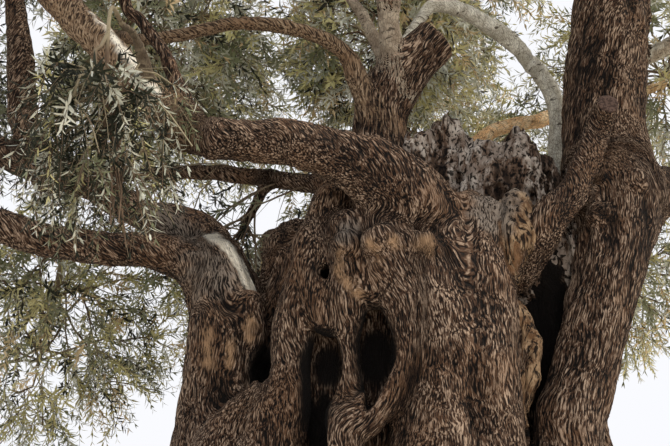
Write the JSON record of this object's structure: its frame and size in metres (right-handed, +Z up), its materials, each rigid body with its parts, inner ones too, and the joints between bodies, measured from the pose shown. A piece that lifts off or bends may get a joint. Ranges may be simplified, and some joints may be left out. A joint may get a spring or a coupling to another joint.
{
  "type": "olive tree",
  "caption": "Ancient olive tree, free-standing: gnarled ribbed hollow trunk, twin stems, heavy crooked boughs and a wide open crown of narrow leaves.",
  "frame": {"origin": "centre of the trunk's foot, on the flat cut at ground level", "axes": "+Z up, -Y out of the trunk's face with the open hollows, +X towards the twin stem on that face's right"},
  "size_m": [8.2117, 6.6349, 6.2684],
  "materials": {
    "bark": "rough furrowed bark",
    "smooth_bark": "smooth bark of young limbs",
    "dead_wood": "weathered and cracked dead wood",
    "bare_wood": "torn bare wood",
    "leaves": "thin leathery leaves on twigs"
  },
  "bodies": {
    "root": {"trunk": "bark", "upper_bare_wood": "bare_wood", "lower_bare_wood": "bare_wood", "dead_crest": "dead_wood", "right_stem": "bark", "right_upright": "bark", "west_bough": "bark", "west_arm": "bark", "west_riser": "bark", "left_low_bough": "bark", "left_high_bough": "bark", "left_upright": "bark", "centre_stump": "bark", "grey_limb": "smooth_bark", "crossing_riser": "bark", "crossing_limb": "bark", "slim_limb": "smooth_bark", "pale_riser": "smooth_bark", "pale_arch": "smooth_bark", "orange_limb": "smooth_bark", "sawn_limb": "bark", "side_limb": "smooth_bark", "east_low_bough": "bark", "left_fork": "bark", "right_fork": "bark", "front_right_limb": "bark", "front_limb": "bark", "back_left_bough": "bark", "back_high_bough": "bark", "back_bough": "bark", "back_top_limb": "bark", "back_low_bough": "bark", "back_right_bough": "bark", "weeping_limb": "smooth_bark", "hanging_limb": "bark", "leaves_west_low": "leaves", "leaves_west": "leaves", "leaves_west_high": "leaves", "leaves_west_arm": "leaves", "leaves_front_left": "leaves", "leaves_weeping": "leaves", "leaves_crossing": "leaves", "leaves_crown_centre": "leaves", "leaves_crown_left": "leaves", "leaves_crown_right": "leaves", "leaves_east_high": "leaves", "leaves_east": "leaves", "leaves_east_low": "leaves", "leaves_northeast": "leaves", "leaves_behind_stump": "leaves", "leaves_northwest_low": "leaves", "leaves_northwest": "leaves", "leaves_north": "leaves", "leaves_north_low": "leaves", "leaves_north_top": "leaves", "leaves_northeast_low": "leaves", "leaves_front": "leaves", "leaves_front_right": "leaves"}
  },
  "joints": []
}
